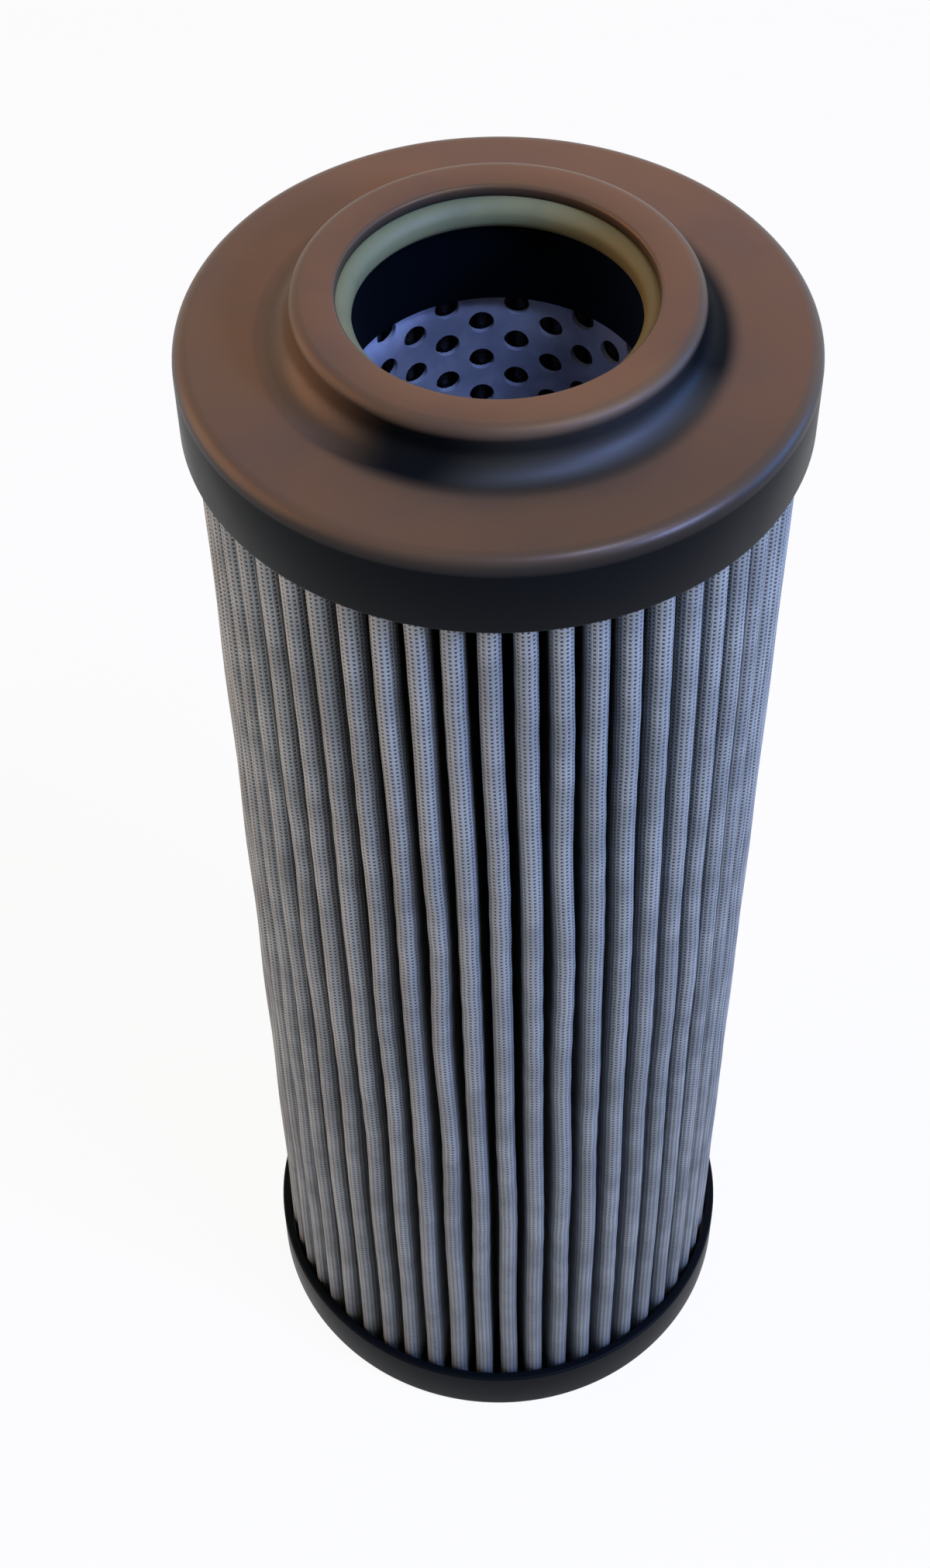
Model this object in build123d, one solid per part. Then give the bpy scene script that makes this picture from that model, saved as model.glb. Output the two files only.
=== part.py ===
"""Pleated hydraulic filter element: two moulded end caps, a perforated core tube and a co-pleated pack.

Millimetres. The origin is at the centre of the closed bottom cap's flat underside and +Z points up the axis
to the open collar, where a seal ring in the bore grips the housing's spigot. +Y is the side where the pack's
two edges are closed by a folded clip.
"""

import os
from math import cos, radians, sin, sqrt

from build123d import *

# ---------------------------------------------------------------- both end caps
cap_diameter = 68.0
cap_edge_radius = 1.75      # rounding of the caps' outer rims
skirt_wall = 1.2            # wall that stands round the pleat ends
skirt_edge_radius = 0.35
body_length = 183.0         # underside of the bottom cap to the flange face of the top cap

# ---------------------------------------------------------------- top cap
top_plate = 2.6             # thickness of the flange
top_skirt_depth = 10.0      # flange face to the skirt's lower edge
collar_height = 5.5         # above the flange face
collar_wall = 4.9           # round the bore
collar_rim_radius = 1.4
collar_fillet = 3.0         # sweep of the collar into the flange
bore_diameter = 33.4        # passage for the housing's spigot
bore_mouth_radius = 0.45
sleeve_wall = 0.85          # sleeves that centre the core tube
top_sleeve_depth = 9.7      # flange face to the end of the sleeve

# ---------------------------------------------------------------- bottom cap
bottom_plate = 2.2
bottom_skirt_height = 9.0
bottom_sleeve_height = 5.0  # above the plate

# ---------------------------------------------------------------- seal ring
seal_section = 3.6          # thickness of the round section
seal_reach = 1.55           # how far the ring stands into the bore
seal_land = 0.9             # height of the flat parting land on the ring's inner crest
seal_depth = 1.3            # collar rim to the top of the groove
groove_side_play = 0.1      # above and below the ring
groove_back_play = 0.1      # behind the ring

# ---------------------------------------------------------------- core tube
tube_wall = 0.6
tube_play = 0.05            # radial play on the sleeves
hole_diameter = 3.0
holes_in_row = 13           # each row stands half a hole pitch round from the one below
hole_rows = 9               # set well apart: the rows carry the pattern, not its full density
hole_end_margin = 6.5       # end of a sleeve to the nearest row's centres

# ---------------------------------------------------------------- pleated pack
pleat_count = 53
pack_play = 0.25            # from the pack to the skirts and to the core tube
fold_tip_radius = 1.25      # outside radius of a fold at the pack's outer face
fold_root_gap = 0.06        # inside radius of the outermost sheet's fold at the core
sheet_gap = 0.02            # between two sheets of the pack
mesh_thickness = 0.22       # woven support mesh, outer and inner
fleece_thickness = 0.09     # protective fleece on each face of the filter medium
media_thickness = 0.27      # glass fibre medium
bed_thickness = 2.0         # adhesive that the pleat ends stand on
bed_play = 0.02             # from the adhesive to the round walls beside it

# ---------------------------------------------------------------- seam clip
seam_angle = 88.0           # beside +Y
clip_wall = 0.3
clip_leg = 4.0              # how far the legs reach in along the pleat
clip_play = 0.03

# ---------------------------------------------------------------- derived radii and heights
cap_radius = cap_diameter / 2
skirt_radius = cap_radius - skirt_wall
bore_radius = bore_diameter / 2
collar_radius = bore_radius + collar_wall
sleeve_radius = bore_radius + sleeve_wall
tube_inner_radius = sleeve_radius + tube_play
tube_radius = tube_inner_radius + tube_wall
pack_outer_radius = skirt_radius - pack_play
pack_inner_radius = tube_radius + pack_play

collar_top = body_length + collar_height
plate_underside = body_length - top_plate
top_sleeve_end = body_length - top_sleeve_depth
bottom_sleeve_end = bottom_plate + bottom_sleeve_height
pack_bottom = bottom_plate + bed_thickness
pack_top = plate_underside - bed_thickness

seal_radius = seal_section / 2
seal_land_radius = bore_radius - seal_reach
seal_centre_radius = seal_land_radius + sqrt(seal_radius**2 - (seal_land / 2) ** 2)
groove_radius = seal_centre_radius + seal_radius + groove_back_play
groove_top = collar_top - seal_depth
groove_bottom = groove_top - seal_section - 2 * groove_side_play
seal_height = (groove_top + groove_bottom) / 2

# sheets of the pack from its outer face inwards
SHEETS = {
    "outer_support_mesh": mesh_thickness,
    "outer_fleece": fleece_thickness,
    "filter_media": media_thickness,
    "inner_fleece": fleece_thickness,
    "inner_support_mesh": mesh_thickness,
}
pack_thickness = sum(SHEETS.values()) + sheet_gap * (len(SHEETS) - 1)
tip_centre_radius = pack_outer_radius - fold_tip_radius
root_centre_radius = pack_inner_radius + fold_root_gap + pack_thickness
pleat_angle = 360 / pleat_count


def polar(radius, angle):
    """Point at a radius from the axis and an angle in degrees from +X."""
    return Vector(radius * cos(radians(angle)), radius * sin(radians(angle)))


def turned(section):
    """Solid made by turning a half section, drawn as (radius, height), round the axis."""
    return revolve(Plane.XZ * section, Axis.Z)


def rounded(section, corner, radius):
    """Half section with the corner at a (radius, height) point rounded."""
    return fillet(section.vertices().sort_by_distance(corner)[0], radius)


def ring(inner, outer, low, high):
    """Plain ring between two radii and two heights."""
    return extrude(Pos(0, 0, low) * (Circle(outer) - Circle(inner)), high - low)


def top_end_cap():
    """Flange with skirt, collar with the seal groove, and the sleeve that centres the core tube."""
    skirt_end = body_length - top_skirt_depth
    section = make_face(Polyline(
        (bore_radius, collar_top), (collar_radius, collar_top), (collar_radius, body_length),
        (cap_radius, body_length), (cap_radius, skirt_end), (skirt_radius, skirt_end),
        (skirt_radius, plate_underside), (sleeve_radius, plate_underside),
        (sleeve_radius, top_sleeve_end), (bore_radius, top_sleeve_end),
        (bore_radius, groove_bottom), (groove_radius, groove_bottom),
        (groove_radius, groove_top), (bore_radius, groove_top), close=True,
    ))
    section = rounded(section, (bore_radius, collar_top), bore_mouth_radius)
    section = rounded(section, (collar_radius, collar_top), collar_rim_radius)
    section = rounded(section, (collar_radius, body_length), collar_fillet)
    section = rounded(section, (cap_radius, body_length), cap_edge_radius)
    section = rounded(section, (cap_radius, skirt_end), skirt_edge_radius)
    return turned(section)


def bottom_end_cap():
    """Closed plate with a skirt round the pleat ends and the sleeve that centres the core tube."""
    section = make_face(Polyline(
        (0, 0), (cap_radius, 0), (cap_radius, bottom_skirt_height), (skirt_radius, bottom_skirt_height),
        (skirt_radius, bottom_plate), (sleeve_radius, bottom_plate), (sleeve_radius, bottom_sleeve_end),
        (bore_radius, bottom_sleeve_end), (bore_radius, bottom_plate), (0, bottom_plate), close=True,
    ))
    section = rounded(section, (cap_radius, 0), cap_edge_radius)
    section = rounded(section, (cap_radius, bottom_skirt_height), skirt_edge_radius)
    return turned(section)


def bore_seal_ring():
    """Round-section ring with a flat land where its mould parts, on the inner crest."""
    land_top = Vector(seal_land_radius, seal_height + seal_land / 2)
    land_bottom = Vector(seal_land_radius, seal_height - seal_land / 2)
    back = Vector(seal_centre_radius + seal_radius, seal_height)
    return turned(make_face(ThreePointArc(land_top, back, land_bottom) + Line(land_bottom, land_top)))


def core_tube():
    """Tube between the two plates, over both sleeves, with staggered rows of round holes between them."""
    tube = ring(tube_inner_radius, tube_radius, bottom_plate, plate_underside)
    first_row = bottom_sleeve_end + hole_end_margin
    row_pitch = (top_sleeve_end - hole_end_margin - first_row) / (hole_rows - 1)
    hole_angle = 360 / holes_in_row
    drills = []
    for row in range(hole_rows):
        for hole in range(holes_in_row):
            direction = polar(1, (hole + row % 2 / 2) * hole_angle)
            start = direction * (tube_inner_radius - tube_wall) + Vector(0, 0, first_row + row * row_pitch)
            drills.append(Solid.make_cylinder(hole_diameter / 2, 3 * tube_wall, Plane(start, z_dir=direction)))
    return tube - drills


def adhesive_bed(low, high):
    """Ring of adhesive between the core tube and a cap's skirt, which the pleat ends stand on."""
    return ring(tube_radius + bed_play, skirt_radius - bed_play, low, high)


def fold_points(depth):
    """Where a face of the pack, at a depth below its outer face, passes from fold to flank.

    Gives the points beside a tip that lies at angle 0: where the tip's fold ends and where the next root's
    fold starts. The flank between them touches both folds.
    """
    tip = polar(tip_centre_radius, 0)
    root = polar(root_centre_radius, pleat_angle / 2)
    along = (root - tip).normalized()
    across = Vector(along.Y, -along.X)
    lean = (fold_tip_radius + fold_root_gap) / (root - tip).length
    normal = along * lean + across * sqrt(1 - lean**2)
    return tip + normal * (fold_tip_radius - depth), root - normal * (fold_root_gap + depth)


def fold_path(depth):
    """Edges of one face of the pack, from the seam round to the seam; the seam's own tip stays open."""
    tip_end, root_start = fold_points(depth)
    tip_start = Vector(tip_end.X, -tip_end.Y)
    root_end = Vector(root_start.X, -root_start.Y)
    tip_crest = pack_outer_radius - depth
    root_crest = root_centre_radius - fold_root_gap - depth
    edges = []
    for pleat in range(pleat_count):
        here = seam_angle + pleat * pleat_angle
        there = here + pleat_angle
        leaving = [point.rotate(Axis.Z, here) for point in (tip_end, root_start)]
        coming = [point.rotate(Axis.Z, there) for point in (root_end, tip_start, tip_end)]
        edges.append(Edge.make_line(leaving[0], leaving[1]))
        edges.append(Edge.make_three_point_arc(leaving[1], polar(root_crest, here + pleat_angle / 2), coming[0]))
        edges.append(Edge.make_line(coming[0], coming[1]))
        if pleat < pleat_count - 1:
            edges.append(Edge.make_three_point_arc(coming[1], polar(tip_crest, there), coming[2]))
    return edges


def pleated_sheet(depth, thickness):
    """One sheet of the pack, folded all the way round, with its two cut edges at the seam."""
    outer_face = fold_path(depth)
    inner_face = fold_path(depth + thickness)
    first_edge = Edge.make_line(outer_face[0] @ 0, inner_face[0] @ 0)
    last_edge = Edge.make_line(outer_face[-1] @ 1, inner_face[-1] @ 1)
    outline = Wire(outer_face + [last_edge] + inner_face + [first_edge])
    return extrude(Pos(0, 0, pack_bottom) * Face(outline), pack_top - pack_bottom)


def pleat_seam_clip():
    """Folded strip over the pack's two edges, with a leg on each outer face of the seam's pleat."""
    inner_half = fold_tip_radius + clip_play
    outer_half = inner_half + clip_wall
    inner_back = tip_centre_radius + clip_play
    leg_end = inner_back - clip_leg
    height = pack_top - pack_bottom
    outside = Pos((leg_end + inner_back + clip_wall) / 2, 0) * Rectangle(clip_leg + clip_wall, 2 * outer_half)
    backs = outside.vertices().group_by(Axis.X)[-1]
    inside = Pos((leg_end + inner_back) / 2, 0) * Rectangle(clip_leg, 2 * inner_half)
    section = fillet(backs, clip_wall) - inside
    return Rot(0, 0, seam_angle) * extrude(Pos(0, 0, pack_bottom) * section, height)


def build():
    """Every piece of the element by its node name."""
    pieces = {
        "top_end_cap": top_end_cap(),
        "bottom_end_cap": bottom_end_cap(),
        "bore_seal_ring": bore_seal_ring(),
        "core_tube": core_tube(),
        "top_adhesive_bed": adhesive_bed(pack_top, plate_underside),
        "bottom_adhesive_bed": adhesive_bed(bottom_plate, pack_bottom),
        "pleat_seam_clip": pleat_seam_clip(),
    }
    depth = 0.0
    for name, thickness in SHEETS.items():
        pieces[name] = pleated_sheet(depth, thickness)
        depth += thickness + sheet_gap
    return pieces


os.makedirs("parts", exist_ok=True)
for name, piece in build().items():
    export_step(piece, f"parts/{name}.step")
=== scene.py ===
"""Looks of a pleated hydraulic filter element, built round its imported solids.

Metres, in the solids' own frame: the closed bottom cap stands on z = 0, +Z runs up the axis to the open
collar and +Y is the side where the folded pack is closed by its clip.
"""

import logging
import math
import random
from collections.abc import Callable, Iterator
from contextlib import contextmanager
from dataclasses import dataclass, field
from enum import Enum
from functools import partial

import bpy
from bpy.types import Material, NodeSocket, NodeTree, Object
from mathutils import Matrix, Vector


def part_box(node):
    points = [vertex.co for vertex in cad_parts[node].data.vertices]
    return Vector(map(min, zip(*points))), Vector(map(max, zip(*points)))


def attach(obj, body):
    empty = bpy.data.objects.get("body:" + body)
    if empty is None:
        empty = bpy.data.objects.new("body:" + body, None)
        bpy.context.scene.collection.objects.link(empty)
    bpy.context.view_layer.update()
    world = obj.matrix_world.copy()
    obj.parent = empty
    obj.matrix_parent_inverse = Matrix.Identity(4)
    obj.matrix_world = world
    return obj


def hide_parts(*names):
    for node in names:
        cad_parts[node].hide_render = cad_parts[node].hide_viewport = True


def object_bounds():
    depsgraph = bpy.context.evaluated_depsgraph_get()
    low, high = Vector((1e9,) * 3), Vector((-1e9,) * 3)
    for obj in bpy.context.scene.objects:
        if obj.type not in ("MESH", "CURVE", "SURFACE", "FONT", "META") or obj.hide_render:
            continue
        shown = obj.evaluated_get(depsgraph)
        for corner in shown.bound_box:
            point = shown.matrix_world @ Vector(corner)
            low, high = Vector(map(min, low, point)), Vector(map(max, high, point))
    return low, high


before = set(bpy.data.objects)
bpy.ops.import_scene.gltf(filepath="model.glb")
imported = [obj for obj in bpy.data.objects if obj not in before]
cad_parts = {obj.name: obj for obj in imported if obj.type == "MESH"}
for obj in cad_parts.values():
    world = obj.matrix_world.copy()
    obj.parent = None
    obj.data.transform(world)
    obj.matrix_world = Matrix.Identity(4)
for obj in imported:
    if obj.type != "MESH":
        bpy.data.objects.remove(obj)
CAD_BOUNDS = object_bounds()

log = logging.getLogger("filter_element")

Point = tuple[float, float]
Place = tuple[float, float, float]
Adder = Callable[..., NodeSocket | None]

MM = 0.001
BODY = "root"
MERGE_DISTANCE = 0.002 * MM
SHEET_GAP = 0.02 * MM
WHITE = (1.0, 1.0, 1.0, 1.0)
FROM = ("From Min", "From Max")
TO = ("To Min", "To Max")
SOFT = {"interpolation_type": "SMOOTHSTEP"}
COLOURS = {"output": 2, "data_type": "RGBA"}    # makes a mix one of colours
CLUMPED: Point = (0.35, 0.65)   # values of a noise between which it passes from one clump to the next
MOTTLED: Point = (0.3, 0.7)     # values of a noise that nearly all of it lies between


# -------------------------------- named choices


class Side(Enum):
    """Which way a fold of the pack points."""

    TIP = 1
    ROOT = -1


# -------------------------------- small helpers


def linear(code: str) -> tuple[float, float, float, float]:
    """Turns an sRGB hex colour into linear RGBA.

    Args:
        code: Colour such as "#7f8a94".

    Returns:
        Linear red, green and blue, and an alpha of 1.
    """
    values = [int(code[i:i + 2], 16) / 255 for i in (1, 3, 5)]
    rgb = [v / 12.92 if v <= 0.04045 else ((v + 0.055) / 1.055) ** 2.4 for v in values]
    return rgb[0], rgb[1], rgb[2], 1.0


def add_node(tree: NodeTree, kind: str, inputs: dict | None = None, output: int | str = 0,
             **settings: object) -> NodeSocket | None:
    """Adds one shader node with its settings and links.

    Args:
        tree: Node tree that takes the node.
        kind: Type of the shader node, such as "Math".
        inputs: Input sockets by name or number, or a tuple of names that takes as many values; a socket as
            value is linked, anything else is set.
        output: Output socket that is wanted.
        settings: Properties of the node by name.

    Returns:
        The wanted output socket, or None for a node without one.
    """
    node = tree.nodes.new("ShaderNode" + kind)
    for name, value in settings.items():
        setattr(node, name, value)
    for keys, values in (inputs or {}).items():
        for key, value in zip(keys, values) if isinstance(keys, tuple) else [(keys, values)]:
            if isinstance(value, NodeSocket):
                tree.links.new(value, node.inputs[key])
            else:
                node.inputs[key].default_value = value
    return node.outputs[output] if node.outputs else None


def axis_distance(add: Adder, place: NodeSocket) -> NodeSocket:
    """Distance of a place from the element's axis."""
    flat = add("VectorMath", {0: place, 1: (1, 1, 0)}, operation="MULTIPLY")
    return add("VectorMath", {0: flat}, "Value", operation="LENGTH")


def two_tones(add: Adder, pattern: NodeSocket, first: str, second: str,
              change: Point = (0.0, 1.0)) -> NodeSocket:
    """Colours a pattern with two tones.

    Args:
        add: Adds a node.
        pattern: Pattern that the tones follow.
        first: Tone where it is low, as an sRGB hex colour.
        second: Tone where it is high.
        change: Values of the pattern between which the first gives way to the second.

    Returns:
        The colour.
    """
    share = add("MapRange", {"Value": pattern, FROM: change})
    return add("Mix", {0: share, 6: linear(first), 7: linear(second)}, **COLOURS)


def select_nothing() -> None:
    """Leaves edit mode and clears the selection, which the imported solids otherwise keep."""
    if bpy.context.object and bpy.context.object.mode != "OBJECT":
        bpy.ops.object.mode_set(mode="OBJECT")
    bpy.ops.object.select_all(action="DESELECT")


def make_active(piece: Object) -> None:
    """Selects one object alone and makes it the active one.

    Args:
        piece: The object.
    """
    select_nothing()
    piece.select_set(True)
    bpy.context.view_layer.objects.active = piece


@contextmanager
def editing(piece: Object, action: str = "SELECT") -> Iterator[None]:
    """Holds one piece in edit mode, with all or nothing of it selected.

    Args:
        piece: The piece.
        action: "SELECT" or "DESELECT".

    Yields:
        Once, in edit mode.
    """
    make_active(piece)
    bpy.ops.object.mode_set(mode="EDIT")
    bpy.ops.mesh.select_all(action=action)
    yield
    bpy.ops.object.mode_set(mode="OBJECT")


def add_ring(name: str, points: list[Vector], closed: bool = True) -> Object:
    """Adds a circle primitive and draws it out into an outline.

    Args:
        name: Name of the piece.
        points: Corners of the outline in order.
        closed: False opens the outline between its last and first corner.

    Returns:
        The new object, active and in object mode.
    """
    select_nothing()
    bpy.ops.mesh.primitive_circle_add(vertices=len(points), radius=1.0, fill_type="NOTHING")
    piece = bpy.context.object
    piece.name = piece.data.name = name
    for vertex, point in zip(piece.data.vertices, points):
        vertex.co = point
    if not closed:
        with editing(piece, "DESELECT"):
            bpy.ops.mesh.select_mode(type="EDGE")
        for edge in piece.data.edges:
            edge.select = set(edge.vertices) == {0, len(points) - 1}
        bpy.ops.object.mode_set(mode="EDIT")
        bpy.ops.mesh.delete(type="EDGE_FACE")
        bpy.ops.object.mode_set(mode="OBJECT")
    return piece


def face_outwards(piece: Object) -> None:
    """Merges doubled corners of a closed piece and turns its faces outwards.

    Args:
        piece: The piece.
    """
    with editing(piece):
        bpy.ops.mesh.remove_doubles(threshold=MERGE_DISTANCE)
        bpy.ops.mesh.normals_make_consistent(inside=False)


def apply_modifier(piece: Object, kind: str, **settings: object) -> None:
    """Adds a modifier with its settings and applies it at once.

    Args:
        piece: The piece that it changes.
        kind: Type of the modifier, such as "ARRAY".
        settings: Its properties by name.
    """
    make_active(piece)
    modifier = piece.modifiers.new(kind.title(), kind)
    for name, value in settings.items():
        setattr(modifier, name, value)
    bpy.ops.object.modifier_apply(modifier=modifier.name)


def smooth(piece: Object, degrees: float = 35.0) -> None:
    """Shades a piece smooth except where its faces meet at more than an angle."""
    make_active(piece)
    bpy.ops.object.shade_smooth_by_angle(angle=math.radians(degrees))


def finish_piece(piece: Object, finish: "Finish", *nodes: str) -> None:
    """Dresses a piece, puts it on the element and lets it stand for its solids.

    Args:
        piece: The finished mesh.
        finish: Its finish.
        nodes: Solids that the piece stands for.
    """
    piece.data.materials.clear()
    piece.data.materials.append(finish.material())
    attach(piece, BODY)
    if nodes:
        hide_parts(*nodes)
    log.info("%s: %d faces", piece.name, len(piece.data.polygons))


def dress_solid(node: str, finish: "Finish") -> None:
    """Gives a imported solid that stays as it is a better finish.

    Args:
        node: Name of the solid.
        finish: Its finish.
    """
    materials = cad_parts[node].data.materials
    materials.clear()
    materials.append(finish.material())
    log.info("%s: dressed as it is", node)


# -------------------------------- finishes


@dataclass(frozen=True)
class Finish:
    """What every finish of the element has: a name, a material slot and a way to be drawn."""

    name: str
    slot: str

    def material(self) -> Material:
        """Makes the finish's material the first time that it is asked for.

        Returns:
            The material.
        """
        known = bpy.data.materials.get(self.name)
        if known:
            return known
        material = bpy.data.materials.new(self.name)
        material.use_nodes = True
        material.node_tree.nodes.clear()
        add = partial(add_node, material.node_tree)
        place = add("TexCoord", output="Object")
        shader = add("BsdfPrincipled", self.draw(add, place))
        add("OutputMaterial", {"Surface": shader})
        return material

    def draw(self, add: Adder, place: NodeSocket) -> dict[str, object]:
        """Adds the finish's patterns.

        Args:
            add: Adds a node to the finish.
            place: Where a point lies on the element.

        Returns:
            The shader's inputs by name.
        """
        raise NotImplementedError


@dataclass(frozen=True)
class MouldedPolyamide(Finish):
    """Glass-filled polyamide, injection moulded.

    The mould leaves a fine spark-eroded grain, so the black plastic is satin, not glossy. A warm reflection
    is painted on the top cap's upper faces as a grey-brown colour and a warm tint of its specular
    reflections; the skirts keep the plastic's near-black, and so does the flange round the collar's foot, as
    painted shade.
    """

    name: str = "glass_filled_polyamide"
    slot: str = "moulded_polyamide"
    wall_colour: str = "#060b0f"
    painted_reflection: float = 1.0  # how strongly the painted warm reflection browns the upper faces
    # The next three colours paint a warm reflection: two grey-brown tones, and a warm tint for the specular
    # reflections.
    painted_reflection_colour: str = "#624e38"
    patch_colour: str = "#5a4a3b"
    painted_reflection_tint: str = "#ffc07c"
    sheen: Point = (0.04, 0.4)  # specular level of bare plastic and of plastic where the warm reflection is painted
    patch: float = 11.0 * MM
    gloss: Point = (0.34, 0.41)  # roughness of the smoothest and the dullest patches
    foot: Point = (23.6 * MM, 25.9 * MM)  # radii between which the flange's painted reflection begins, leaving the collar's painted shade round its foot
    edge: Point = (180.9 * MM, 182.7 * MM)  # heights between which the painted reflection begins on the flange's edge
    rim: Point = (187.0 * MM, 188.4 * MM)  # heights between which the painted reflection begins on the collar's rim
    collar: Point = (20.0 * MM, 20.4 * MM)  # radii between which the collar's outside begins
    lamp_side: Place = (-1.0, 0.2, 0.0)  # side facing the warm lamp, on which the collar's wall and foot are painted lit too
    lamp_side_span: Point = (6.0 * MM, 18.0 * MM)  # distances to that side between which its painted light begins
    lamp_side_reflection: float = 0.8  # how strong it is there, of the flange's painted reflection
    grip: Place = (0.469, -0.883, 0.0)  # side on which handling has worn the cap
    grip_span: Point = (15.6 * MM, 21.2 * MM)  # distances to that side between which the foot's wear begins
    wear: Point = (0.14, 0.34)  # what wear adds to the roughness and to the specular level
    thinned_reflection_span: Point = (20.0 * MM, 31.0 * MM)  # distances to that side between which the painted warm reflection weakens
    thinned_reflection: float = 0.68  # what is left of it there
    shaded_edge: Point = (182.0 * MM, 182.9 * MM)  # heights between which shade is painted on the flange's rounded edge
    shaded_edge_reflection: float = 0.35  # what is left of the painted reflection there
    grain: float = 0.3 * MM  # spark-eroded grain, drawn at twice its real width
    grain_depth: float = 0.008 * MM
    refraction: float = 1.53

    def painted_reflection_mask(self, add: Adder, place: NodeSocket, radius: NodeSocket, height: NodeSocket) -> NodeSocket:
        """Where the warm reflection is painted: the flange, the collar's rim, and all of the collar on the
        side facing the warm lamp.

        Args:
            add: Adds a node to the finish.
            place: Where a point lies on the element.
            radius: Its distance from the axis.
            height: Its height.

        Returns:
            How much painted reflection the point gets, from 0 to the finish's full share.
        """
        # the collar's wall facing the warm lamp is painted lit as well
        towards_lamp_side = add("VectorMath", {0: place, 1: self.lamp_side}, "Value", operation="DOT_PRODUCT")
        past_foot = add("MapRange", {"Value": radius, FROM: self.foot}, **SOFT)
        over_edge = add("MapRange", {"Value": height, FROM: self.edge})
        on_rim = add("MapRange", {"Value": height, FROM: self.rim})
        outside = add("MapRange", {"Value": radius, FROM: self.collar})
        on_lamp_side = add("MapRange", {"Value": towards_lamp_side, FROM: self.lamp_side_span, "To Max": self.lamp_side_reflection}, **SOFT)
        around = add("Math", {0: outside, 1: on_lamp_side}, operation="MULTIPLY")
        beyond = add("Math", {0: past_foot, 1: around}, operation="MAXIMUM")
        on_flange = add("Math", {0: beyond, 1: over_edge}, operation="MULTIPLY")
        share = add("Math", {0: on_flange, 1: on_rim}, operation="MAXIMUM")
        return add("Math", {0: share, 1: self.painted_reflection}, operation="MULTIPLY")

    def worn(self, add: Adder, radius: NodeSocket, towards: NodeSocket) -> NodeSocket:
        """Where handling has worn the collar's foot to a broad soft shine.

        Args:
            add: Adds a node to the finish.
            radius: Distance of a point from the axis.
            towards: How far it lies towards the gripped side.

        Returns:
            How far the point is worn, from 0 to 1.
        """
        before_foot = add("MapRange", {"Value": radius, FROM: self.foot, TO: (1.0, 0.0)})
        on_grip = add("MapRange", {"Value": towards, FROM: self.grip_span}, **SOFT)
        return add("Math", {0: before_foot, 1: on_grip}, operation="MULTIPLY")

    def shown_reflection(self, add: Adder, painted_reflection: NodeSocket, height: NodeSocket, towards: NodeSocket) -> NodeSocket:
        """How much of the painted warm reflection shows: less on the gripped side, and less on the flange's
        rounded edge, where shade is painted.

        Args:
            add: Adds a node to the finish.
            painted_reflection: How much painted reflection a point gets.
            height: Its height.
            towards: How far it lies towards the gripped side.

        Returns:
            The painted reflection's share, from 0 to 1.
        """
        # the painted warm reflection weakens towards the gripped side
        kept = add("MapRange", {"Value": towards, FROM: self.thinned_reflection_span, TO: (1.0, self.thinned_reflection)}, **SOFT)
        # painted shade on the flange's rounded edge
        shaded_edge = add("MapRange", {"Value": height, FROM: self.shaded_edge, "To Min": self.shaded_edge_reflection})
        left = add("Math", {0: kept, 1: shaded_edge}, operation="MULTIPLY")
        return add("Math", {0: painted_reflection, 1: left}, operation="MULTIPLY")

    def draw(self, add: Adder, place: NodeSocket) -> dict[str, object]:
        """Painted warm reflection on the upper faces runs into the dark walls, over the grain."""
        radius = axis_distance(add, place)
        height = add("SeparateXYZ", {0: place}, "Z")
        towards = add("VectorMath", {0: place, 1: self.grip}, "Value", operation="DOT_PRODUCT")
        # painted warm reflection: where it lies, and how much of it shows
        painted_reflection = self.painted_reflection_mask(add, place, radius, height)
        worn = self.worn(add, radius, towards)
        brown = self.shown_reflection(add, painted_reflection, height, towards)
        patches = add("TexNoise", {"Vector": place, "Scale": 1 / self.patch, "Detail": 4.0})
        face = two_tones(add, patches, self.painted_reflection_colour, self.patch_colour, CLUMPED)
        # painted grey-brown reflection over the plastic's near-black, and a painted warm tint on its specular
        # reflections
        colour = add("Mix", {0: brown, 6: linear(self.wall_colour), 7: face}, **COLOURS)
        tint = add("Mix", {0: brown, 6: WHITE, 7: linear(self.painted_reflection_tint)}, **COLOURS)
        satin = add("MapRange", {"Value": patches, FROM: MOTTLED, TO: self.gloss})
        gloss = add("Math", {0: worn, 1: self.wear[0], 2: satin}, operation="MULTIPLY_ADD")
        specular_level = add("MapRange", {"Value": painted_reflection, TO: self.sheen})
        sheen = add("Math", {0: worn, 1: self.wear[1], 2: specular_level}, operation="MULTIPLY_ADD")
        grain = add("TexNoise", {"Vector": place, "Scale": 1 / self.grain, "Detail": 2.0})
        relief = add("Bump", {"Height": grain, "Distance": self.grain_depth, "Strength": 1.0})
        return {"Base Color": colour, "Roughness": gloss, "IOR": self.refraction, "Specular IOR Level": sheen,
                "Specular Tint": tint, "Normal": relief}


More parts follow.
